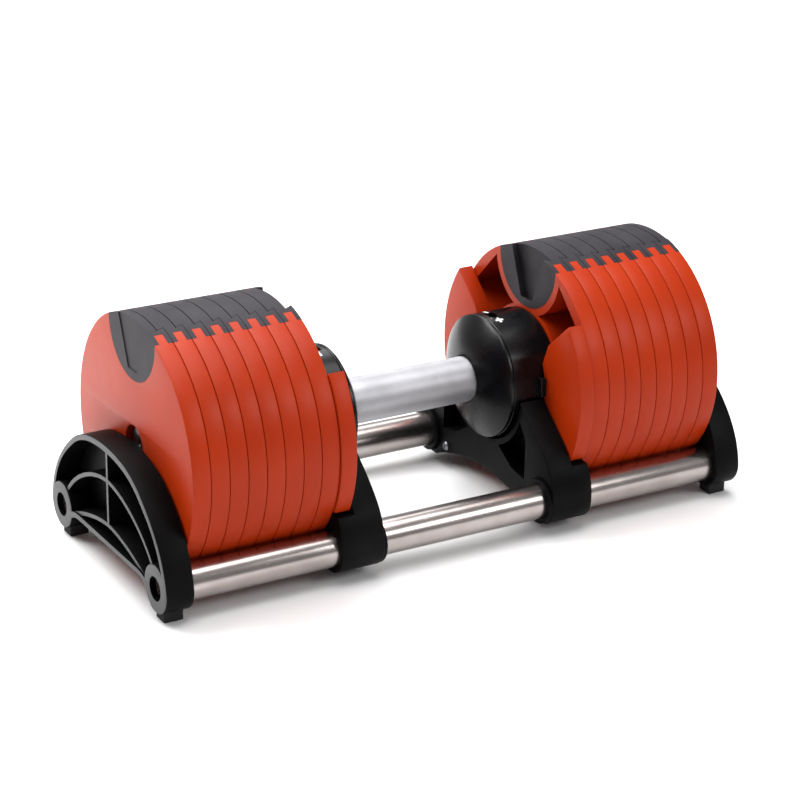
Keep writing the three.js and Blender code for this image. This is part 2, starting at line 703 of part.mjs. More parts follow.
// Outer bracket: hollow ribbed moulding, open to the outside
function endBracket() {
  const outerY = tubeY + bossRadius;
  const underZ = tubeZ - endArch.underDrop;
  const outlineHalf = (inset) => {
    const lean = radians(shoulder.angle);
    const startY = shoulder.halfWidth - inset * Math.cos(lean);
    const startZ = endBracketTop - shoulder.drop - inset * Math.sin(lean);
    const along = (length) => [startY + length * Math.sin(lean), startZ - length * Math.cos(lean)];
    const topZ = endBracketTop - inset;
    const hipPoint = [outerY - hip.inset - inset, tubeZ + hip.rise];
    const knee = [tubeY - endArch.kneeInset + inset, underZ + inset];
    const foot = arc(tubeY, tubeZ, bossRadius - inset, 0, -endArch.footAngle, 7);
    const ankle = foot[foot.length - 1];
    const archPoints = points([ankle.x, ankle.y], knee, [tubeY - endArch.crownInset, underZ + inset]);
    return [
      ...bezier([0, topZ], [shoulder.crown, topZ], along(-shoulder.leadIn), along(0), 5),
      ...bezier(along(0), along(shoulder.leadOut), hipPoint, [outerY - inset, tubeZ], 7).slice(1),
      ...foot.slice(1),
      ...new THREE.QuadraticBezierCurve(...archPoints).getPoints(5).slice(1),
    ];
  };
  const outline = mirrored(outlineHalf(0));
  const openOutline = mirrored(outlineHalf(endRimWall));
  const inside = endBracketStart + endBracketWall;
  const ribEnd = endBracketEnd - ribSetback;
  const ribStart = inside - ribSink;
  const onLeft = ([inset, rise]) => [-tubeY + inset, tubeZ + rise];
  const onRight = ([inset, rise]) => [tubeY - inset, tubeZ + rise];
  const topRib = [
    ...topRibPoints.map(onLeft),
    [-topRibCrown.halfWidth, tubeZ + topRibCrown.rise],
    [topRibCrown.halfWidth, tubeZ + topRibCrown.rise],
    ...topRibPoints.map(onRight).reverse(),
  ];
  const lowRibCrown = [0, tubeZ + lowRibRise];
  const lowRib = [...lowRibPoints.map(onLeft), lowRibCrown, ...lowRibPoints.map(onRight).reverse()];
  const postTop = endBracketTop - endRimWall / 2;
  const ribs = band(topRib, ribWall, ribStart, ribEnd)
    .add(band(lowRib, ribWall, ribStart, ribEnd))
    .add(block([ribStart, ribEnd], [-ribWall / 2, ribWall / 2], [tubeZ + lowRibRise, postTop]));
  let bracket = prism(outline, endBracketStart, endBracketEnd);
  bracket = bracket.subtract(prism(openOutline, inside, endBracketEnd + cutSlack)).add(ribs);
  for (const direction of [-1, 1]) {
    const y = direction * tubeY;
    const socketEnd = endBracketEnd - bossEndWall;
    bracket = bracket.add(cylinder(y, tubeZ, bossRadius - bossSink, ribStart, endBracketEnd, holeSides));
    bracket = bracket.subtract(cylinder(y, tubeZ, tubeBore, endBracketStart - cutSlack, socketEnd, barSides));
    bracket = bracket.subtract(
      cylinder(y, tubeZ, bossEyeRadius, endBracketStart, endBracketEnd + cutSlack, holeSides),
    );
    bracket = bracket.subtract(padBlock(direction, fitGap));
  }
  return bracket;
}

// Rubber pad under an outer bracket's foot, or its recess when grown
function padBlock(side, grown) {
  const middleX = (endBracketStart + endBracketEnd) / 2;
  const middleY = side * tubeY;
  const top = footZ + pad.sunk;
  return block(
    [middleX - pad.length / 2 - grown, middleX + pad.length / 2 + grown],
    [middleY - pad.width / 2 - grown, middleY + pad.width / 2 + grown],
    [-axisHeight - (grown > 0 ? cutSlack : 0), top + grown],
  );
}

function bracketScrew(side) {
  const y = side * (tubeY - screw.inset);
  const z = tubeZ - screw.drop;
  const faceX = saddleStart - fitGap;
  const head = cylinder(y, z, screw.headRadius, faceX - screw.headHeight, faceX, screwSides);
  const shankStart = faceX - screw.headHeight / 4;
  const shankEnd = saddleStart + screw.shankLength;
  return head.add(cylinder(y, z, screw.shankRadius, shankStart, shankEnd, screwSides));
}

// ---------------------------------------------------------------- assembly

const dumbbell = new THREE.Group();
const axisFrame = new THREE.Group();
axisFrame.position.z = axisHeight;
dumbbell.add(axisFrame);

axisFrame.add(named('grip_tube', grip(), knurledSteel));
axisFrame.add(named('guide_tube', guideTube(), plainSteel));
axisFrame.add(named('cradle_tube_front', cradleTube(-1), polishedSteel));
axisFrame.add(named('cradle_tube_rear', cradleTube(1), polishedSteel));

for (const [sideName, angle] of [['right', 0], ['left', Math.PI]]) {
  const side = new THREE.Group();
  side.rotation.z = angle;
  axisFrame.add(side);

  side.add(named(`drive_rod_${sideName}`, rod(), plainSteel));
  side.add(named(`hub_cap_${sideName}`, hubCap(), glossPlastic));
  side.add(named(`hub_housing_${sideName}`, hubHousing(), glossPlastic));
  side.add(named(`number_dial_${sideName}`, dial(), dialPlastic));
  side.add(named(`lock_yoke_${sideName}`, lockYoke(), lockPlastic));
  side.add(named(`end_weight_${sideName}`, endWeight(), redCoat));
  for (let index = 0; index < plateCount; index += 1) {
    side.add(named(`plate_${sideName}_${index + 1}`, plate(index), redCoat));
    side.add(named(`plate_insert_${sideName}_${index + 1}`, insert(index), insertPlastic));
  }

  side.add(named(`saddle_bracket_${sideName}`, saddleBracket(), blackPlastic));
  side.add(named(`end_bracket_${sideName}`, endBracket(), blackPlastic));
  for (const across of [-1, 1]) {
    const isFront = across * Math.cos(angle) < 0;
    const corner = `${sideName}_${isFront ? 'front' : 'rear'}`;
    side.add(named(`foot_pad_${corner}`, padBlock(across, 0), rubber));
    side.add(named(`saddle_screw_${corner}`, bracketScrew(across), zincScrew));
  }
}

export default dumbbell;
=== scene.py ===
"""Looks of the adjustable dumbbell in its cradle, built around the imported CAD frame.

Outlines are lists of (y, z) in millimetres from the handle axis, carried along X. Each side is
shaped once, on +X, and turned half a turn about Z for the other side.
"""

import math

import bmesh
import bpy
from mathutils import Matrix, Vector


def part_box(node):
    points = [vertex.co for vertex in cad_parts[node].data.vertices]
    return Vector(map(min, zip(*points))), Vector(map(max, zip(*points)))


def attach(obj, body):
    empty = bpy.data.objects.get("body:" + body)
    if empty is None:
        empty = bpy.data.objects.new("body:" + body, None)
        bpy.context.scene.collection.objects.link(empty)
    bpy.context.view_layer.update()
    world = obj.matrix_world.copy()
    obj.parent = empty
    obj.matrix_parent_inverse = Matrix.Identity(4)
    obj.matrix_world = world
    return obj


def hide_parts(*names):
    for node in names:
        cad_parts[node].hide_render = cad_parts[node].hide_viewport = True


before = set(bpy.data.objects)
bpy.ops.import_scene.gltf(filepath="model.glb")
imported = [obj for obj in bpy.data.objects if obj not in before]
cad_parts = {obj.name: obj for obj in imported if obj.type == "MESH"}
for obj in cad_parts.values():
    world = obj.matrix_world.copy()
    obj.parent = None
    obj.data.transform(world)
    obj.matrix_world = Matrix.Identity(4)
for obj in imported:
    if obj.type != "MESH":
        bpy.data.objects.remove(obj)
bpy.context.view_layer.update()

MM = 0.001
SIDES = {"right": 0.0, "left": math.pi}
PLATES = range(1, 9)


def span(node, axis):
    """Lowest and highest place of a CAD node on one axis, in mm."""
    low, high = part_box(node)
    return low[axis] / MM, high[axis] / MM


# ------------------------------------------------------------------ sizes in mm

AXIS_HEIGHT = sum(span("grip_tube", 2)) / 2
PLATE_RADIUS = span("plate_right_1", 1)[1]
HUB_RADIUS = span("hub_cap_right", 1)[1]
GRIP_RADIUS = span("grip_tube", 1)[1]
ROD_RADIUS = span("drive_rod_right", 1)[1]
TUBE_RADIUS = (span("cradle_tube_rear", 1)[1] - span("cradle_tube_rear", 1)[0]) / 2
TUBE_Y = sum(span("cradle_tube_rear", 1)) / 2
TUBE_Z = sum(span("cradle_tube_rear", 2)) / 2 - AXIS_HEIGHT
FIT_GAP = 0.3
REST_GAP = 0.4

# Plate and insert
HOLE_RADIUS = ROD_RADIUS + 1.4
INSERT_RADIUS = 36
INSERT_Z = PLATE_RADIUS - 7.5
FLANGE = 3.3
WAIST_HALF_WIDTH = 27.4
WAIST_STEP = 1.5
TONGUE_DEPTH = 5.2
TONGUE_TOP = 22.5
TONGUE_FOOT = 6.5
TONGUE_FOOT_Z = 53.23
TONGUE_FLARE = 2.6
SLOT_GAP = 0.65

# Windows of a plate; angles in degrees above level
WINDOW_RIM = 8.5
WINDOW_WEB = 5.5
WINDOW_LOW = 31
WINDOW_HIGH = 78
WINDOW_EDGE = 45

# Grip
GRIP_WALL = 2.5
KNURL_DEPTH = 0.35
KNURLS_AROUND = 128
KNURLS_ALONG = 121
SHOULDER_STEP = 0.15

# Hub
CAP_WALL = 3
CAP_BEAD = 2.4
HOUSING_WALL = 2.6
HOUSING_FLOOR = 18.7
NECK_WALL = 4.1
DRUM_GAP = 3.3
LOCK_WHEEL_RADIUS = 33
SETTINGS = 9
SETTING_TURN = 40

# Cradle
BOSS_RADIUS = 17
BOSS_SINK = 0.5
BORE_RADIUS = TUBE_RADIUS + 0.15
SADDLE_RADIUS = HUB_RADIUS + 2.2
LEDGE_RISE = 27.7
SADDLE_ARCH_RISE = 14
SADDLE_BAND = 17
END_WALL = 3
END_RIM = 4
SHOULDER_ANGLE = 52


# ------------------------------------------------------------------ outlines


def arc(y, z, radius, start, end, steps):
    """Points on an arc, angles in degrees from +Y towards +Z."""
    angles = [math.radians(start + (end - start) * i / steps) for i in range(steps + 1)]
    return [(y + radius * math.cos(a), z + radius * math.sin(a)) for a in angles]


def circle(y, z, radius, sides=96):
    return arc(y, z, radius, 0, 360, sides)[:-1]


def rectangle(y0, y1, z0, z1):
    return [(y0, z0), (y1, z0), (y1, z1), (y0, z1)]


def curve(*controls, steps=16):
    """A Bezier curve through its first and last control points."""
    points = []
    order = len(controls) - 1
    for i in range(steps + 1):
        t = i / steps
        weights = [math.comb(order, k) * t**k * (1 - t) ** (order - k) for k in range(order + 1)]
        points.append(tuple(sum(w * c[axis] for w, c in zip(weights, controls)) for axis in (0, 1)))
    return points


def flipped(outline):
    return [(-y, z) for y, z in reversed(outline)]


def mirrored(half):
    """Full outline from the half on +Y, drawn from its top to its bottom."""
    return half + flipped([p for p in half if p[0] > 0])


# ------------------------------------------------------------------ solids


def solid_object(mesh):
    obj = bpy.data.objects.new("solid", mesh)
    bpy.context.scene.collection.objects.link(obj)
    return obj


def settled(obj):
    """A plain mesh object from obj with its modifiers or curve worked out; obj is removed."""
    depsgraph = bpy.context.evaluated_depsgraph_get()
    depsgraph.update()
    mesh = bpy.data.meshes.new_from_object(obj.evaluated_get(depsgraph))
    bpy.data.objects.remove(obj)
    return solid_object(mesh)


def cleaned(obj):
    """Merges doubles and points the faces outwards."""
    shape = bmesh.new()
    shape.from_mesh(obj.data)
    bmesh.ops.remove_doubles(shape, verts=shape.verts, dist=2e-6)
    bmesh.ops.recalc_face_normals(shape, faces=shape.faces)
    shape.to_mesh(obj.data)
    shape.free()
    return obj


def slab(outline, x0, x1, edge=0.0, holes=()):
    """A (y, z) outline carried from x0 to x1, its long edges rounded to the radius edge."""
    data = bpy.data.curves.new("slab", "CURVE")
    data.dimensions = "2D"
    data.fill_mode = "BOTH"
    data.extrude = ((x1 - x0) / 2 - edge) * MM
    data.bevel_depth = edge * MM
    data.bevel_resolution = 2
    data.offset = -edge * MM
    for ring in (outline, *holes):
        spline = data.splines.new("POLY")
        spline.points.add(len(ring) - 1)
        for point, (y, z) in zip(spline.points, ring):
            point.co = (y * MM, z * MM, 0, 1)
        spline.use_cyclic_u = True
    obj = settled(solid_object(data))
    middle, height = (x0 + x1) / 2 * MM, AXIS_HEIGHT * MM
    to_yz = Matrix(((0, 0, 1, middle), (1, 0, 0, 0), (0, 1, 0, height), (0, 0, 0, 1)))
    obj.data.transform(to_yz)
    return cleaned(obj)


def turned(profile, segments=96):
    """A closed (x, radius) profile turned about the handle axis."""
    shape = bmesh.new()
    verts = [shape.verts.new((x * MM, 0, radius * MM)) for x, radius in profile]
    edges = [shape.edges.new((verts[i - 1], verts[i])) for i in range(len(verts))]
    bmesh.ops.spin(
        shape, geom=verts + edges, axis=(1, 0, 0), cent=(0, 0, 0),
        angle=math.tau, steps=segments, use_merge=True,
    )
    bmesh.ops.remove_doubles(shape, verts=shape.verts, dist=2e-6)
    bmesh.ops.recalc_face_normals(shape, faces=shape.faces)
    mesh = bpy.data.meshes.new("turned")
    shape.to_mesh(mesh)
    shape.free()
    mesh.transform(Matrix.Translation((0, 0, AXIS_HEIGHT * MM)))
    return solid_object(mesh)


def block(x0, x1, y0, y1, z0, z1, edge=0.0):
    return slab(rectangle(y0, y1, z0, z1), x0, x1, edge)


def boolean(base, operation, others):
    for other in others:
        modifier = base.modifiers.new("shape", "BOOLEAN")
        modifier.operation = operation
        modifier.solver = "MANIFOLD"
        modifier.object = other
    result = settled(base)
    for other in others:
        bpy.data.objects.remove(other)
    return result


def cut(base, *others):
    return boolean(base, "DIFFERENCE", others)


def joined(base, *others):
    return boolean(base, "UNION", others)


def trimmed(base, *others):
    return boolean(base, "INTERSECT", others)


def finished(obj, name, body, materials, nodes, side="right", smooth=30.0, pick=None):
    """Names a shaped piece, gives it its finish and hangs it on its CAD body."""
    if SIDES[side]:
        obj.data.transform(Matrix.Rotation(SIDES[side], 4, "Z"))
    obj.name = obj.data.name = name
    obj.data.materials.clear()
    for material in materials:
        obj.data.materials.append(material)
    for polygon in obj.data.polygons:
        polygon.use_smooth = True
        polygon.material_index = pick(polygon) if pick else 0
    obj.data.set_sharp_from_angle(angle=math.radians(smooth))
    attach(obj, body)
    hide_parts(*nodes)
    return obj


def copied(obj, shift=0.0):
    """A copy of a shaped solid, moved along X by shift mm."""
    twin = solid_object(obj.data.copy())
    twin.data.transform(Matrix.Translation((shift * MM, 0, 0)))
    return twin


# ------------------------------------------------------------------ materials


def linear(hex_colour):
    """sRGB hex to a linear RGBA colour."""
    parts = [int(hex_colour[i : i + 2], 16) / 255 for i in (1, 3, 5)]
    return tuple(c / 12.92 if c <= 0.04045 else ((c + 0.055) / 1.055) ** 2.4 for c in parts) + (1.0,)


def add(tree, kind, settings=None, **inputs):
    """Adds a node. settings are its own properties; inputs are values or sockets to link."""
    node = tree.nodes.new(kind)
    for key, value in (settings or {}).items():
        setattr(node, key, value)
    for key, value in inputs.items():
        socket = node.inputs[key.replace("_", " ")]
        if isinstance(value, bpy.types.NodeSocket):
            tree.links.new(value, socket)
        else:
            socket.default_value = value
    return node


def new_material(name, **shader_inputs):
    material = bpy.data.materials.new(name)
    material.use_nodes = True
    tree = material.node_tree
    tree.nodes.clear()
    shader = add(tree, "ShaderNodeBsdfPrincipled", **shader_inputs)
    add(tree, "ShaderNodeOutputMaterial", Surface=shader.outputs[0])
    place = add(tree, "ShaderNodeTexCoord").outputs["Object"]
    return material, tree, shader, place


def noise(tree, place, size_mm, detail=3.0, stretch=(1, 1, 1)):
    """Noise whose grains are about size_mm across."""
    mapping = add(tree, "ShaderNodeMapping", Vector=place, Scale=stretch)
    return add(
        tree, "ShaderNodeTexNoise", Vector=mapping.outputs[0], Scale=1 / (size_mm * MM), Detail=detail
    ).outputs["Fac"]


def ramp(tree, factor, *stops):
    """Colour ramp with (position, hex colour) stops."""
    node = add(tree, "ShaderNodeValToRGB", Fac=factor)
    elements = node.color_ramp.elements
    while len(elements) < len(stops):
        elements.new(0.5)
    for element, (position, colour) in zip(elements, stops):
        element.position = position
        element.color = linear(colour)
    return node.outputs["Color"]


def spread(tree, factor, low, high):
    """Maps a 0 to 1 factor to a range of values."""
    return add(tree, "ShaderNodeMapRange", Value=factor, To_Min=low, To_Max=high).outputs["Result"]


def bumped(tree, shader, height, depth_mm, strength=1.0):
    bump = add(tree, "ShaderNodeBump", Height=height, Distance=depth_mm * MM, Strength=strength)
    tree.links.new(bump.outputs["Normal"], shader.inputs["Normal"])


# Powder coat on cast iron: satin, with a soft orange peel about 3 mm across and slow drifts of
# tone from red to orange
def powder_coat():
    material, tree, shader, place = new_material(
        "powder_coated_cast_iron", Metallic=0.0, IOR=1.5, Specular_IOR_Level=0.14,
        Coat_Weight=0.05, Coat_Roughness=0.3,
    )
    peel = noise(tree, place, 3.0, 2.0)
    cloud = noise(tree, place, 45.0, 4.0)
    tree.links.new(ramp(tree, cloud, (0.3, "#a22a03"), (0.7, "#ac2f05")), shader.inputs["Base Color"])
    tree.links.new(spread(tree, noise(tree, place, 12.0), 0.36, 0.46), shader.inputs["Roughness"])
    bumped(tree, shader, peel, 0.05, 0.35)
    return material


# Moulded plastic or rubber with a fine spark-eroded grain, drawn at 0.7 mm or more so that it
# shows, and a slightly lighter bloom
def grained_plastic(name, dark, light, roughness, grain_mm=0.7, depth_mm=0.03, shine=0.5):
    material, tree, shader, place = new_material(
        name, Metallic=0.0, IOR=1.5, Specular_IOR_Level=shine
    )
    grain = noise(tree, place, grain_mm, 2.0)
    bloom = noise(tree, place, 25.0, 5.0)
    tree.links.new(ramp(tree, bloom, (0.3, dark), (0.7, light)), shader.inputs["Base Color"])
    tree.links.new(spread(tree, grain, roughness - 0.06, roughness + 0.06), shader.inputs["Roughness"])
    bumped(tree, shader, grain, depth_mm, 0.5)
    return material


# Polished ABS: near black and glossy, with faint handling haze
def gloss_plastic():
    material, tree, shader, place = new_material(
        "gloss_black_abs", Metallic=0.0, IOR=1.53, Specular_IOR_Level=0.22
    )
    haze = noise(tree, place, 30.0, 5.0)
    tree.links.new(ramp(tree, haze, (0.3, "#050507"), (0.75, "#0b0b0e")), shader.inputs["Base Color"])
    tree.links.new(spread(tree, haze, 0.2, 0.34), shader.inputs["Roughness"])
    bumped(tree, shader, noise(tree, place, 14.0, 1.0), 0.02, 0.3)
    return material


# Steel, turned or drawn: metal grey with fine lines round the bar or along it and light tarnish
def steel(name, dark, light, roughness, stretch, lines_mm=0.8, depth_mm=0.004):
    material, tree, shader, place = new_material(name, Metallic=1.0)
    lines = noise(tree, place, lines_mm, 3.0, stretch)
    tarnish = noise(tree, place, 22.0, 4.0)
    tree.links.new(ramp(tree, tarnish, (0.3, dark), (0.7, light)), shader.inputs["Base Color"])
    tree.links.new(spread(tree, lines, roughness - 0.05, roughness + 0.07), shader.inputs["Roughness"])
    bumped(tree, shader, lines, depth_mm, 0.5)
    return material


POWDER_COAT = powder_coat()
INSERT_NYLON = grained_plastic("moulded_grey_nylon", "#29262b", "#333035", 0.5, shine=0.12)
BRACKET_NYLON = grained_plastic("moulded_black_nylon", "#050506", "#0b0b0c", 0.45, 0.9, 0.03, 0.06)
# Lighter grey copy of the black bracket nylon: a painted highlight on the outward-facing rib and rim edges
# of the outer bracket
RIB_EDGE_PAINTED_HIGHLIGHT = grained_plastic("black_nylon_painted_edge_highlight", "#3e3e40", "#4a4a4c", 0.5)
GLOSS_ABS = gloss_plastic()
WHITE_PRINT = grained_plastic("white_pad_print", "#dededf", "#f0f0f0", 0.5)
DIAL_ACETAL = grained_plastic("black_acetal", "#131316", "#1c1c20", 0.5)
YOKE_ACETAL = grained_plastic("natural_acetal", "#aeaca4", "#bdbbb3", 0.5)
PAD_RUBBER = grained_plastic("black_rubber", "#0d0d0e", "#161617", 0.85, 1.2, 0.06)
POLISHED_STEEL = steel("polished_stainless_steel", "#a39a97", "#b5adaa", 0.24, (0.03, 1, 1))
KNURLED_STEEL = steel("satin_chromed_steel", "#a2a2a6", "#b6b5b9", 0.5, (1, 1, 1), 0.6, 0.01)
TURNED_STEEL = steel("turned_steel", "#9a9c9f", "#b4b6b9", 0.3, (1, 0.1, 0.1))
ZINC = steel("zinc_plated_steel", "#7c7e81", "#97999c", 0.38, (1, 1, 1), 0.5)


# ------------------------------------------------------------------ plates and inserts


def insert_body(x0, x1, grown):
    """The insert, or its room in a plate when grown: flanges on both faces and a waist."""
    waist = trimmed(
        slab(circle(0, INSERT_Z, INSERT_RADIUS - WAIST_STEP + grown), x0 + 1, x1 - 1),
        block(x0, x1, -WAIST_HALF_WIDTH - grown, WAIST_HALF_WIDTH + grown, 0, PLATE_RADIUS + 1),
    )
    flange = circle(0, INSERT_Z, INSERT_RADIUS + grown)
    return joined(
        waist,
        slab(flange, x0 - grown, x0 + FLANGE + grown),
        slab(flange, x1 - FLANGE - grown, x1 + grown),
    )


def tongue(x0, depth, grown):
    """Dovetail wedge that narrows downwards and widens outwards."""
    shape = bmesh.new()
    rings = []
    for share in (0, 1):
        flare = TONGUE_FLARE * share * depth / TONGUE_DEPTH
        top = TONGUE_TOP + grown + flare
        foot = TONGUE_FOOT + grown + flare
        top_z = PLATE_RADIUS + 4
        foot_z = TONGUE_FOOT_Z - grown - flare
        x = (x0 + depth * share) * MM
        corners = [(-foot, foot_z), (foot, foot_z), (top, top_z), (-top, top_z)]
        rings.append([shape.verts.new((x, y * MM, (z + AXIS_HEIGHT) * MM)) for y, z in corners])
    shape.faces.new(rings[0])
    shape.faces.new(rings[1])
    for i in range(4):
        shape.faces.new((rings[0][i - 1], rings[0][i], rings[1][i], rings[1][i - 1]))
    bmesh.ops.recalc_face_normals(shape, faces=shape.faces)
    mesh = bpy.data.meshes.new("tongue")
    shape.to_mesh(mesh)
    shape.free()
    return solid_object(mesh)


def window_shapes(x0, x1):
    """The two windows of a plate, between hub, insert and rim."""
    chord = PLATE_RADIUS - WINDOW_RIM

    def on_chord(angle):
        radius = chord / math.cos(math.radians(angle - WINDOW_EDGE))
        return (radius * math.cos(math.radians(angle)), radius * math.sin(math.radians(angle)))

    half = arc(0, 0, SADDLE_RADIUS, WINDOW_HIGH, WINDOW_LOW, 14)
    half += [on_chord(WINDOW_LOW), on_chord(WINDOW_HIGH)]
    web = circle(0, INSERT_Z, INSERT_RADIUS + WINDOW_WEB)
    return [cut(slab(shape, x0, x1), slab(web, x0 - 1, x1 + 1)) for shape in (half, flipped(half))]


def plate_shape(index):
    x0, x1 = span(f"plate_right_{index}", 0)
    disc = slab(circle(0, 0, PLATE_RADIUS, 160), x0, x1, 0.5, [circle(0, 0, HOLE_RADIUS, 64)])
    cutters = [insert_body(x0, x1, FIT_GAP / 2)]
    if index < len(PLATES):
        cutters += window_shapes(x0 - 1, x1 + 1)
    return cut(disc, *cutters)


def insert_shape(index):
    x0, x1 = span(f"plate_right_{index}", 0)
    rim = slab(circle(0, 0, PLATE_RADIUS, 160), x0, x1 + TONGUE_DEPTH + 1)
    body = cut(insert_body(x0, x1, 0), tongue(x0 - 0.01, TONGUE_DEPTH + FIT_GAP, SLOT_GAP))
    if index < len(PLATES):
        return trimmed(joined(body, tongue(x1 - 0.01, TONGUE_DEPTH, 0)), rim)
    return trimmed(cut(body, tongue(x1 - 0.8, 2, 0)), rim)


inner_plate, outer_plate = plate_shape(1), plate_shape(8)
inner_insert, outer_insert = insert_shape(1), insert_shape(8)
first_x = span("plate_right_1", 0)[0]
for side in SIDES:
    for index in PLATES:
        outermost = index == len(PLATES)
        step = 0 if outermost else span(f"plate_right_{index}", 0)[0] - first_x
        body = f"plate_{side}_{index}"
        finished(
            copied(outer_plate if outermost else inner_plate, step),
            f"coated_plate_{side}_{index}", body, [POWDER_COAT], [f"plate_{side}_{index}"], side,
        )
        finished(
            copied(outer_insert if outermost else inner_insert, step),
            f"dovetail_insert_{side}_{index}", body, [INSERT_NYLON],
            [f"plate_insert_{side}_{index}"], side,
        )
for shape in (inner_plate, outer_plate, inner_insert, outer_insert):
    bpy.data.objects.remove(shape)


# ------------------------------------------------------------------ grip


def knurl_tree():
    """A round bar whose surface is a lattice of small pyramids, one to every other crossing."""
    tree = bpy.data.node_groups.new("knurled_bar", "GeometryNodeTree")
    tree.interface.new_socket("Geometry", in_out="OUTPUT", socket_type="NodeSocketGeometry")
    for name in ("Radius", "Length", "Depth"):
        tree.interface.new_socket(name, in_out="INPUT", socket_type="NodeSocketFloat")
    for name in ("Around", "Along"):
        tree.interface.new_socket(name, in_out="INPUT", socket_type="NodeSocketInt")
    given = add(tree, "NodeGroupInput").outputs
    length, radius, depth = given["Length"], given["Radius"], given["Depth"]
    around_count, along_count = given["Around"], given["Along"]

    def maths(operation, *values):
        node = tree.nodes.new("ShaderNodeMath")
        node.operation = operation
        for socket, value in zip(node.inputs, values):
            if isinstance(value, bpy.types.NodeSocket):
                tree.links.new(value, socket)
            else:
                socket.default_value = value
        return node.outputs[0]

    grid = add(
        tree, "GeometryNodeMeshGrid", Size_X=length, Size_Y=1.0, Vertices_X=along_count,
        Vertices_Y=maths("ADD", around_count, 1.0),
    ).outputs["Mesh"]
    position = add(tree, "GeometryNodeInputPosition").outputs[0]
    place = add(tree, "ShaderNodeSeparateXYZ", Vector=position).outputs
    turn = maths("MULTIPLY", maths("ADD", place[1], 0.5), math.tau)
    row = maths("ROUND", maths("MULTIPLY", maths("ADD", place[1], 0.5), around_count))
    share = maths("ADD", maths("DIVIDE", place[0], length), 0.5)
    column = maths("ROUND", maths("MULTIPLY", share, maths("SUBTRACT", along_count, 1.0)))
    valley = maths("MODULO", maths("ADD", row, column), 2.0)
    reach = maths("SUBTRACT", radius, maths("MULTIPLY", valley, depth))
    wrapped = add(
        tree, "ShaderNodeCombineXYZ", X=place[0], Y=maths("MULTIPLY", reach, maths("COSINE", turn)),
        Z=maths("MULTIPLY", reach, maths("SINE", turn)),
    ).outputs[0]
    shell = add(tree, "GeometryNodeSetPosition", Geometry=grid, Position=wrapped).outputs[0]
    closed = add(tree, "GeometryNodeMergeByDistance", Geometry=shell, Distance=1e-6).outputs[0]
    real = add(tree, "GeometryNodeRealizeInstances", Geometry=closed).outputs[0]
    dressed = add(tree, "GeometryNodeSetMaterial", Geometry=real, Material=KNURLED_STEEL).outputs[0]
    add(tree, "NodeGroupOutput", Geometry=dressed)
    return tree


def knurled_sleeve(radius, length, depth, around, along):
    carrier = solid_object(bpy.data.meshes.new("knurl"))
    modifier = carrier.modifiers.new("knurl", "NODES")
    modifier.node_group = knurl_tree()
    values = {"Radius": radius * MM, "Length": length * MM, "Depth": depth * MM}
    values |= {"Around": around, "Along": along}
    for item in modifier.node_group.interface.items_tree:
        if item.in_out == "INPUT":
            modifier[item.identifier] = values[item.name]
    sleeve = settled(carrier)
    shape = bmesh.new()
    shape.from_mesh(sleeve.data)
    rims = [e for e in shape.edges if e.is_boundary]
    bmesh.ops.holes_fill(shape, edges=rims, sides=0)
    bmesh.ops.recalc_face_normals(shape, faces=shape.faces)
    shape.to_mesh(sleeve.data)
    shape.free()
    sleeve.data.transform(Matrix.Translation((0, 0, AXIS_HEIGHT * MM)))
    return sleeve


# Knurl about 1.6 mm from crest to crest, between two plain shoulders
grip_low, grip_high = span("grip_tube", 0)
knurl_length = 2 * (span("hub_cap_right", 0)[0] - 1.5)
grip = knurled_sleeve(GRIP_RADIUS, knurl_length, KNURL_DEPTH, KNURLS_AROUND, KNURLS_ALONG)
shoulders = [
    turned([(x0, 0), (x0, GRIP_RADIUS - SHOULDER_STEP), (x1, GRIP_RADIUS - SHOULDER_STEP), (x1, 0)])
    for x0, x1 in ((grip_low, -knurl_length / 2 + 0.01), (knurl_length / 2 - 0.01, grip_high))
]
grip = joined(grip, *shoulders)
grip = cut(grip, slab(circle(0, 0, GRIP_RADIUS - GRIP_WALL), grip_low - 1, grip_high + 1))
finished(grip, "knurled_grip", "grip", [KNURLED_STEEL], ["grip_tube"], smooth=18)


# ------------------------------------------------------------------ hubs


def cap_shape(x0, x1):
    """Domed cap with a bead at its rim."""
    bore = GRIP_RADIUS + REST_GAP
    rim = x1 - CAP_BEAD
    rise = rim - x0
    offset = (HUB_RADIUS**2 - bore**2 + rise**2) / (2 * rise)
    centre = x0 + offset
    sphere = math.hypot(offset, bore)
    outer, inner = [], []
    for i in range(19):
        r = bore + (HUB_RADIUS - 0.5 - bore) * i / 18
        outer.append((centre - math.sqrt(sphere**2 - r**2), r))
        r = bore + (HUB_RADIUS - CAP_WALL - bore) * i / 18
        inner.insert(0, (centre - math.sqrt((sphere - CAP_WALL) ** 2 - r**2), r))
    bead = [(rim, HUB_RADIUS - 0.12), (rim + 0.4, HUB_RADIUS)]
    bead += [(x1 - 0.4, HUB_RADIUS), (x1, HUB_RADIUS - 0.4)]
    outer[0] = (outer[0][0] + 0.5, bore)
    outer.insert(1, (outer[1][0] - 0.4, bore + 0.5))
    return turned(outer + bead + [(x1, HUB_RADIUS - CAP_WALL)] + inner, 128)


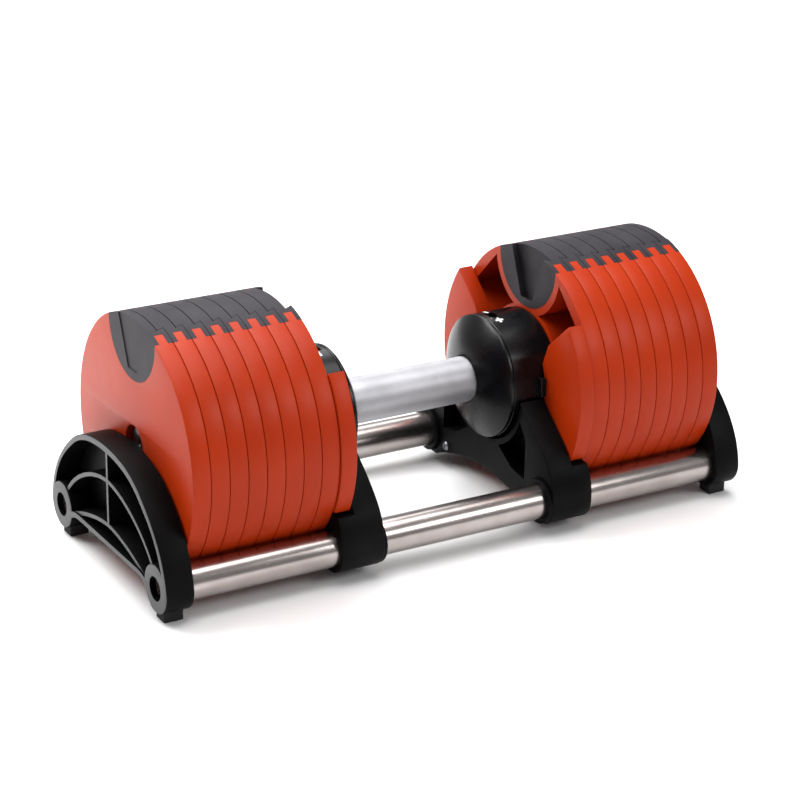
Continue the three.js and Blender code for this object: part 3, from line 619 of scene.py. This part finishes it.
def housing_shape(x0, x1):
    """Cup behind the cap, with the number window on top and a lug on each side."""
    cavity = HUB_RADIUS - HOUSING_WALL
    floor = x0 + HOUSING_FLOOR
    neck = ROD_RADIUS + 6
    cup = turned(
        [
            (x0 + 0.4, HUB_RADIUS), (x1 - 0.4, HUB_RADIUS), (x1, HUB_RADIUS - 0.4), (x1, cavity),
            (floor + 4, cavity), (floor + 4, neck), (x1, neck), (x1, neck - NECK_WALL),
            (floor, neck - NECK_WALL), (floor, cavity), (x0, cavity), (x0, HUB_RADIUS - 0.4),
        ],
        128,
    )
    window = block(x0 + 3.4, x0 + 10.4, -5, 5, cavity / 2, HUB_RADIUS + 1)
    low, high = span("lock_yoke_right", 0)
    foot = block(low - FIT_GAP, high + FIT_GAP, -3.5, 3.5, -HUB_RADIUS - 1, -cavity / 2)
    cup = cut(cup, window, foot)
    lug_end = span("end_weight_right", 0)[0] - FIT_GAP
    lugs = []
    for way in (-1, 1):
        ends = sorted((way * (HUB_RADIUS - 1.3), way * (HUB_RADIUS + 4.4)))
        lugs.append(block(lug_end - 4.3, lug_end, *ends, -3.5, 10, 0.6))
    return joined(cup, *lugs)


def print_marks(x0):
    """A plus on one side of the window and a minus on the other, 0.15 mm proud."""
    marks = []
    for angle, bars in ((101.6, ((6, 1.8), (1.8, 6))), (78.4, ((1.8, 6),))):
        for length, width in bars:
            x = x0 + 7.5
            half = math.degrees(width / 2 / HUB_RADIUS)
            outline = arc(0, 0, HUB_RADIUS + 0.15, angle - half, angle + half, 6)
            outline += arc(0, 0, HUB_RADIUS - 0.3, angle + half, angle - half, 6)
            marks.append(slab(outline, x - length / 2, x + length / 2))
    return marks


def dial_shape():
    """Number drum and notched lock wheel, smooth versions of the CAD node's steps."""
    x0, x1 = span("number_dial_right", 0)
    bore, sleeve = GRIP_RADIUS + 0.55, GRIP_RADIUS + 3.6
    drum = HUB_RADIUS - DRUM_GAP
    start, end = x0 + 0.8, x0 + 9.8
    wheel = end + 1.3
    body = turned(
        [
            (x0, sleeve), (end - 3, sleeve), (end - 3, drum - 2.5), (start, drum - 2.5), (start, drum),
            (end, drum), (end, sleeve), (wheel, sleeve), (wheel, LOCK_WHEEL_RADIUS),
            (wheel + 2.8, LOCK_WHEEL_RADIUS), (wheel + 2.8, sleeve), (x1, sleeve), (x1, bore), (x0, bore),
        ],
        108,
    )
    notches = []
    for step in range(SETTINGS):
        notch = block(wheel - 0.3, wheel + 3.1, -3.2, 3.2, 28, 35)
        about_axis = Matrix.Translation((0, 0, AXIS_HEIGHT * MM))
        notch.data.transform(
            about_axis @ Matrix.Rotation(math.radians(step * SETTING_TURN), 4, "X") @ about_axis.inverted()
        )
        notches.append(notch)
    return cut(body, *notches), drum, (start + end) / 2


def number_shape(text, angle, drum, x):
    """A number lying on the drum, read from above with the top of its digits outwards."""
    data = bpy.data.curves.new("number", "FONT")
    data.body = text
    data.size = 6.6 * MM
    data.align_x = data.align_y = "CENTER"
    data.extrude = 0.1 * MM
    number = cleaned(settled(solid_object(data)))
    lie = Matrix.Rotation(math.pi / 2, 4, "Z")
    up = Matrix.Translation((x * MM, 0, drum * MM))
    turn = Matrix.Translation((0, 0, AXIS_HEIGHT * MM)) @ Matrix.Rotation(math.radians(angle), 4, "X")
    number.data.transform(turn @ up @ lie)
    return number


def tagged(base, extras):
    """Adds loose closed shapes to base as its second material; returns the count of base's faces."""
    count = len(base.data.polygons)
    shape = bmesh.new()
    shape.from_mesh(base.data)
    for extra in extras:
        shape.from_mesh(extra.data)
        bpy.data.objects.remove(extra)
    shape.to_mesh(base.data)
    shape.free()
    return count


for side in SIDES:
    x0, x1 = span("hub_cap_right", 0)
    finished(cap_shape(x0, x1), f"domed_cap_{side}", "handle", [GLOSS_ABS],
             [f"hub_cap_{side}"], side)
    x0, x1 = span("hub_housing_right", 0)
    housing = housing_shape(x0, x1)
    plain = tagged(housing, print_marks(x0))
    finished(
        housing, f"window_housing_{side}", "handle", [GLOSS_ABS, WHITE_PRINT], [f"hub_housing_{side}"],
        side, pick=lambda polygon: int(polygon.index >= plain),
    )
    dial, drum, middle = dial_shape()
    turn_way = 1 if side == "right" else -1
    numbers = [
        number_shape(str(4 * (SETTINGS - step)), turn_way * SETTING_TURN * step, drum, middle)
        for step in range(SETTINGS)
    ]
    plain = tagged(dial, numbers)
    finished(
        dial, f"weight_dial_{side}", "grip", [DIAL_ACETAL, WHITE_PRINT], [f"number_dial_{side}"],
        side, pick=lambda polygon: int(polygon.index >= plain),
    )


# ------------------------------------------------------------------ rods and end weights


def rod_shape():
    """Rod with a rounded nose; half round where it passes the other rod."""
    x0, x1 = span("drive_rod_right", 0)
    tip = [(x1 - 1, ROD_RADIUS), (x1 - 0.3, ROD_RADIUS - 0.3), (x1, ROD_RADIUS - 1), (x1, 0)]
    nose = turned([(x0, 0), (x0, ROD_RADIUS), *tip], 64)
    bar = cut(nose, block(x0 - 1, 168.4, -0.2, ROD_RADIUS + 1, -ROD_RADIUS - 1, ROD_RADIUS + 1))
    dimple = turned([(x1 - 2, 0), (x1 + 1, 3.5), (x1 + 1, 0)], 32)
    pin = turned([(0, 0), (0, 2.3), (7, 2.3), (8.4, 1.6), (9.1, 0)], 24)
    pin.data.transform(Matrix.Translation((0, 0, -AXIS_HEIGHT * MM)))
    place = Matrix.Translation(((x0 + 4.4) * MM, -6 * MM, AXIS_HEIGHT * MM))
    pin.data.transform(place @ Matrix.Rotation(-math.pi / 2, 4, "Z"))
    return joined(cut(bar, dimple), pin)


def end_weight_shape():
    """Horseshoe: an ear on each side of the hub and a bridge below it."""
    x0, x1 = span("end_weight_right", 0)
    radius = PLATE_RADIUS + 1.5
    hole = HUB_RADIUS + 1.2
    ledge = TUBE_Z + LEDGE_RISE + REST_GAP
    low = TUBE_Z + 7
    bridge = TUBE_Y - BOSS_RADIUS - 0.2
    ledge_angle = math.degrees(math.asin(ledge / radius))
    throat = arc(0, 0, hole, 16, 24, 4)
    inner = arc(0, 0, hole + 13.5, 35.5, 35.5, 1)[:1]
    half = throat + inner + arc(0, 0, radius, 37.7, ledge_angle, 40) + [(bridge, ledge), (bridge, low)]
    under_hub = arc(0, 0, hole, 164, 376, 64)[1:-1]
    return slab(half + flipped(half) + under_hub, x0, x1, 0.9)


for side in SIDES:
    finished(rod_shape(), f"round_nosed_rod_{side}", f"drive_rod_{side}", [TURNED_STEEL],
             [f"drive_rod_{side}"], side)
    finished(end_weight_shape(), f"horseshoe_weight_{side}", "handle", [POWDER_COAT],
             [f"end_weight_{side}"], side)


# ------------------------------------------------------------------ cradle


def saddle_shape():
    """Inner bracket: saddle under the hub, ledges under the end weight, arch between the feet."""
    x0 = span("saddle_bracket_right", 0)[0] + 3
    x1 = span("end_weight_right", 0)[0] - 0.6
    x2 = span("saddle_bracket_right", 0)[1]
    outer_y = TUBE_Y + BOSS_RADIUS
    foot_z = TUBE_Z - BOSS_RADIUS
    arch_z = foot_z + SADDLE_ARCH_RISE
    seat_end = arc(0, 0, SADDLE_RADIUS, -7, -7, 1)[0]
    shoulder, hip = (TUBE_Y - 8.5, TUBE_Z + 43), (outer_y, TUBE_Z + 31)
    side_line = curve(seat_end, shoulder, hip, (outer_y, TUBE_Z + 3), steps=28)
    foot = arc(TUBE_Y, TUBE_Z, BOSS_RADIUS, 0, -90, 20)
    arch = curve((TUBE_Y - 10.5, foot_z), (TUBE_Y / 2 - 3, arch_z), (0, arch_z), steps=16)
    seat = arc(0, 0, SADDLE_RADIUS, 187, 353, 64)[1:-1]
    bracket = slab(mirrored(side_line + foot + arch) + seat, x0, x1, 0.8)

    ledge_z = TUBE_Z + LEDGE_RISE
    ledge_y = TUBE_Y - BOSS_RADIUS + 0.5
    boss = [(ledge_y, ledge_z)] + [p for p in side_line if p[1] < ledge_z] + foot
    boss += [(ledge_y + 6, foot_z), (ledge_y, foot_z + 6)]
    parts = [slab(shape, x1 - 1.5, x2, 0.6) for shape in (boss, flipped(boss))]
    parts += [
        slab(circle(way * TUBE_Y, TUBE_Z, BOSS_RADIUS - BOSS_SINK), x0 - 3, x0 + 1, 0.8) for way in (-1, 1)
    ]
    low, high = span("lock_yoke_right", 0)
    parts.append(block(low, high, -3, 3, -SADDLE_RADIUS - 1, -HUB_RADIUS - 1, 0.3))
    bracket = joined(bracket, *parts)

    band_z = arch_z + SADDLE_BAND
    arm_y = TUBE_Y - BOSS_RADIUS - 4
    pocket = arc(0, 0, SADDLE_RADIUS + 4.5, 337, 293, 16)
    pocket += [(TUBE_Y / 2, band_z - 3.5), (arm_y, band_z - 6), (arm_y, band_z + 24)]
    cutters = [slab(shape, x0 - 1, x1 - 8) for shape in (pocket, flipped(pocket))]
    cutters += [slab(circle(way * TUBE_Y, TUBE_Z, BORE_RADIUS), x0 - 4, x2 + 1) for way in (-1, 1)]
    cutters += [
        slab(circle(way * (TUBE_Y - 26.5), TUBE_Z - 5, 2.1, 32), x0 - 1, x0 + 10) for way in (-1, 1)
    ]
    return cut(bracket, *cutters)


def rib(centre, thickness, x0, x1):
    """A band of even thickness along a line of points, for a rib."""
    near, far = [], []
    for i, (y, z) in enumerate(centre):
        before, after = centre[max(i - 1, 0)], centre[min(i + 1, len(centre) - 1)]
        along = Vector((after[0] - before[0], after[1] - before[1])).normalized()
        across = Vector((-along.y, along.x)) * thickness / 2
        near.append((y - across.x, z - across.y))
        far.insert(0, (y + across.x, z + across.y))
    return slab(near + far, x0, x1, 0.35)


def end_bracket_shape():
    """Outer bracket: shell open to the outside, with ribs and a boss round each tube's end."""
    x0, x1 = span("end_bracket_right", 0)
    outer_y = TUBE_Y + BOSS_RADIUS
    under_z = TUBE_Z - 1
    top_z = span("end_bracket_right", 2)[1] - AXIS_HEIGHT
    lean = math.radians(SHOULDER_ANGLE)

    def half_outline(inset):
        y, z = 56 - inset * math.cos(lean), top_z - 15.5 - inset * math.sin(lean)
        shoulder_in = (y - 17.8 * math.sin(lean), z + 17.8 * math.cos(lean))
        shoulder_out = (y + 11.4 * math.sin(lean), z - 11.4 * math.cos(lean))
        crown = curve((0, top_z - inset), (22, top_z - inset), shoulder_in, (y, z), steps=20)
        hip = (outer_y - 2.5 - inset, TUBE_Z + 31)
        flank = curve((y, z), shoulder_out, hip, (outer_y - inset, TUBE_Z), steps=24)
        foot = arc(TUBE_Y, TUBE_Z, BOSS_RADIUS - inset, 0, -115, 24)
        knee = (TUBE_Y - 14.5 + inset, under_z + inset)
        arch = curve(foot[-1], knee, (TUBE_Y - 28, under_z + inset), steps=14)
        return mirrored(crown + flank[1:] + foot[1:] + arch[1:])

    inside = x0 + END_WALL
    rib_end = x1 - 1.5
    ribs = []
    for ends, crown in ((((7, 13), (23, 33)), 46.5), (((12, -3), (36, 8.5)), 14)):
        right = [(TUBE_Y - inset, TUBE_Z + rise) for inset, rise in ends]
        top = (0, TUBE_Z + crown)
        handle = 22 if crown > 20 else 14
        half = curve(top, (handle, TUBE_Z + crown), right[1], right[0], steps=14)
        ribs.append(rib(half[::-1] + [(-y, z) for y, z in half[1:]], 3, inside - BOSS_SINK, rib_end))
    ribs.append(block(inside - BOSS_SINK, rib_end, -1.4, 1.4, TUBE_Z + 13, top_z - 2, 0.3))
    bracket = cut(slab(half_outline(0), x0, x1, 0.7), slab(half_outline(END_RIM), inside, x1 + 1))
    boss = BOSS_RADIUS - BOSS_SINK
    bosses = [slab(circle(way * TUBE_Y, TUBE_Z, boss), inside - BOSS_SINK, x1, 0.7) for way in (-1, 1)]
    bracket = joined(bracket, *ribs, *bosses)
    cutters = []
    pad_x, pad_y, pad_z = (span("foot_pad_right_rear", axis) for axis in range(3))
    for way in (-1, 1):
        cutters.append(slab(circle(way * TUBE_Y, TUBE_Z, BORE_RADIUS), x0 - 1, x1 - 4.6))
        cutters.append(slab(circle(way * TUBE_Y, TUBE_Z, 8.5, 64), x0, x1 + 1))
        ends = sorted((way * (pad_y[0] - FIT_GAP), way * (pad_y[1] + FIT_GAP)))
        low, high = pad_z[0] - AXIS_HEIGHT, pad_z[1] - AXIS_HEIGHT + FIT_GAP
        cutters.append(block(pad_x[0] - FIT_GAP, pad_x[1] + FIT_GAP, *ends, low, high))
    return cut(bracket, *cutters)


def tube_shape(way):
    """Drawn tube with its ends eased."""
    x0, x1 = span("cradle_tube_rear", 0)
    wall = circle(way * TUBE_Y, TUBE_Z, TUBE_RADIUS, 96)
    bore = circle(way * TUBE_Y, TUBE_Z, TUBE_RADIUS - 1.5, 96)
    return slab(wall, x0, x1, 0.4, [bore])


def screw_shape(node):
    """Pan head screw with a cross recess."""
    (x0, x1), (y0, y1), (z0, z1) = (span(node, axis) for axis in range(3))
    x0, x1 = min(abs(x0), abs(x1)), max(abs(x0), abs(x1))
    y = (y0 + y1) / 2
    z = (z0 + z1) / 2 - AXIS_HEIGHT
    dome = [(x0, 0), (x0, 1.8), (x0 + 0.4, 2.8), (x0 + 1.1, 3.4), (x0 + 2, 3.4)]
    head = turned([*dome, (x0 + 2, 1.8), (x1, 1.8), (x1, 0)], 48)
    recess = [block(x0 - 1, x0 + 1, -1.7, 1.7, -0.4, 0.4), block(x0 - 1, x0 + 1, -0.4, 0.4, -1.7, 1.7)]
    screw = cut(head, *recess)
    screw.data.transform(Matrix.Translation((0, y * MM, z * MM)))
    return screw


def pad_shape(node):
    """Rubber foot with rounded corners and two grooves across its sole."""
    (x0, x1), (y0, y1), (z0, z1) = (span(node, axis) for axis in range(3))
    z0, z1 = z0 - AXIS_HEIGHT, z1 - AXIS_HEIGHT
    pad = block(x0, x1, y0, y1, z0, z1, 0.6)
    middle = (y0 + y1) / 2
    grooves = [block(x0 - 1, x1 + 1, y - 0.6, y + 0.6, z0 - 1, z0 + 0.8) for y in (middle - 3, middle + 3)]
    return cut(pad, *grooves)


def outward_edge(level):
    """Picks the second material, a lighter painted highlight, for faces that look outwards near the plane at
    level mm.
    """

    def pick(polygon):
        return int(abs(polygon.normal.x) > 0.5 and abs(polygon.center.x) / MM > level)

    return pick


for side in SIDES:
    finished(saddle_shape(), f"hub_saddle_{side}", "cradle", [BRACKET_NYLON],
             [f"saddle_bracket_{side}"], side)
    # Faces that look outwards near the outer plane take the painted highlight material
    outer_level = span("end_bracket_right", 0)[1] - 2.2
    finished(end_bracket_shape(), f"ribbed_bracket_{side}", "cradle", [BRACKET_NYLON, RIB_EDGE_PAINTED_HIGHLIGHT],
             [f"end_bracket_{side}"], side, pick=outward_edge(outer_level))
    for end, way in (("front", -1), ("rear", 1)):
        node = f"saddle_screw_{side}_{end}"
        screw = screw_shape(node)
        if side == "left":
            screw.data.transform(Matrix.Diagonal((-1, 1, 1, 1)))
            cleaned(screw)
        finished(screw, f"pan_head_screw_{side}_{end}", "cradle", [ZINC], [node])
        node = f"foot_pad_{side}_{end}"
        finished(pad_shape(node), f"rubber_foot_{side}_{end}", "cradle", [PAD_RUBBER], [node])
for end, way in (("front", -1), ("rear", 1)):
    finished(tube_shape(way), f"drawn_tube_{end}", "cradle", [POLISHED_STEEL],
             [f"cradle_tube_{end}"])


# ------------------------------------------------------------------ carried-over CAD nodes

CAD_FINISHES = (
    ("guide_tube", TURNED_STEEL), ("lock_yoke_right", YOKE_ACETAL), ("lock_yoke_left", YOKE_ACETAL)
)
for node, material in CAD_FINISHES:
    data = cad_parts[node].data
    data.materials.clear()
    data.materials.append(material)


# ------------------------------------------------------------------ floor, light and camera


def studio_material(name, colour, roughness):
    material, tree, shader, place = new_material(name, Roughness=roughness)
    tree.links.new(
        ramp(tree, noise(tree, place, 600.0, 1.0), (0.0, colour), (1.0, colour)), shader.inputs["Base Color"]
    )
    return material


def sweep():
    """Pale floor that curves up into a backdrop behind the object."""
    data = bpy.data.meshes.new("floor")
    shape = bmesh.new()
    half = 6.0
    line = [(-6.0, 0.0), (3.0, 0.0)]
    line += [(3.0 + math.sin(a), 1.0 - math.cos(a)) for a in (math.pi / 2 * i / 12 for i in range(1, 13))]
    line.append((4.0, 4.0))
    rows = [[shape.verts.new((x, y, z)) for x in (-half, half)] for y, z in line]
    for near, far in zip(rows, rows[1:]):
        shape.faces.new((near[0], near[1], far[1], far[0]))
    shape.to_mesh(data)
    shape.free()
    floor = solid_object(data)
    floor.name = "studio_floor"
    for polygon in data.polygons:
        polygon.use_smooth = True
    data.materials.append(studio_material("white_paper_sweep", "#f4f4f4", 0.9))


def softbox(name, place, target, size, power):
    data = bpy.data.lights.new(name, "AREA")
    data.shape = "RECTANGLE"
    data.size, data.size_y = size
    data.energy = power
    lamp = bpy.data.objects.new(name, data)
    bpy.context.scene.collection.objects.link(lamp)
    lamp.location = place
    lamp.rotation_euler = (Vector(target) - Vector(place)).to_track_quat("-Z", "Y").to_euler()


sweep()
softbox("top_softbox", (0.1, -0.1, 1.6), (0, 0, 0.05), (1.4, 1.1), 23)
softbox("rear_softbox", (0.3, 1.4, 1.5), (0.4, 1.3, 0), (2.6, 1.5), 42)
softbox("left_softbox", (-0.62, 0.5, 0.75), (-0.5, 0.42, 0), (0.5, 0.5), 9)
softbox("front_softbox", (1.0, -1.5, 1.2), (0, 0, 0.05), (0.8, 0.6), 11)

world = bpy.data.worlds.new("studio")
bpy.context.scene.world = world
world.use_nodes = True
background = world.node_tree.nodes["Background"]
background.inputs["Color"].default_value = linear("#ffffff")
background.inputs["Strength"].default_value = 0.28
bpy.context.scene.view_settings.view_transform = "Standard"

AZIMUTH, ELEVATION, ROLL = math.radians(30.58), math.radians(21.74), math.radians(0.97)
DISTANCE, SHIFT_RIGHT, SHIFT_UP = 1778.5, 2.37, -5.67
LENS = 112.8
AIM_HEIGHT = 79.35

right = Vector((math.cos(AZIMUTH), -math.sin(AZIMUTH), 0))
up = Vector((
    math.sin(ELEVATION) * math.sin(AZIMUTH), math.sin(ELEVATION) * math.cos(AZIMUTH), math.cos(ELEVATION),
))
forward = Vector((
    math.sin(AZIMUTH) * math.cos(ELEVATION), math.cos(AZIMUTH) * math.cos(ELEVATION), -math.sin(ELEVATION),
))
rolled_right = right * math.cos(ROLL) + up * math.sin(ROLL)
rolled_up = up * math.cos(ROLL) - right * math.sin(ROLL)
eye = -SHIFT_RIGHT * rolled_right - SHIFT_UP * rolled_up - DISTANCE * forward + Vector((0, 0, AIM_HEIGHT))
camera_data = bpy.data.cameras.new("camera")
camera_data.lens = LENS
camera_data.sensor_width = 36
camera_data.clip_end = 50
camera = bpy.data.objects.new("camera", camera_data)
bpy.context.scene.collection.objects.link(camera)
turn = Matrix((rolled_right, rolled_up, -forward)).transposed()
camera.matrix_world = Matrix.Translation(eye * MM) @ turn.to_4x4()
bpy.context.scene.camera = camera
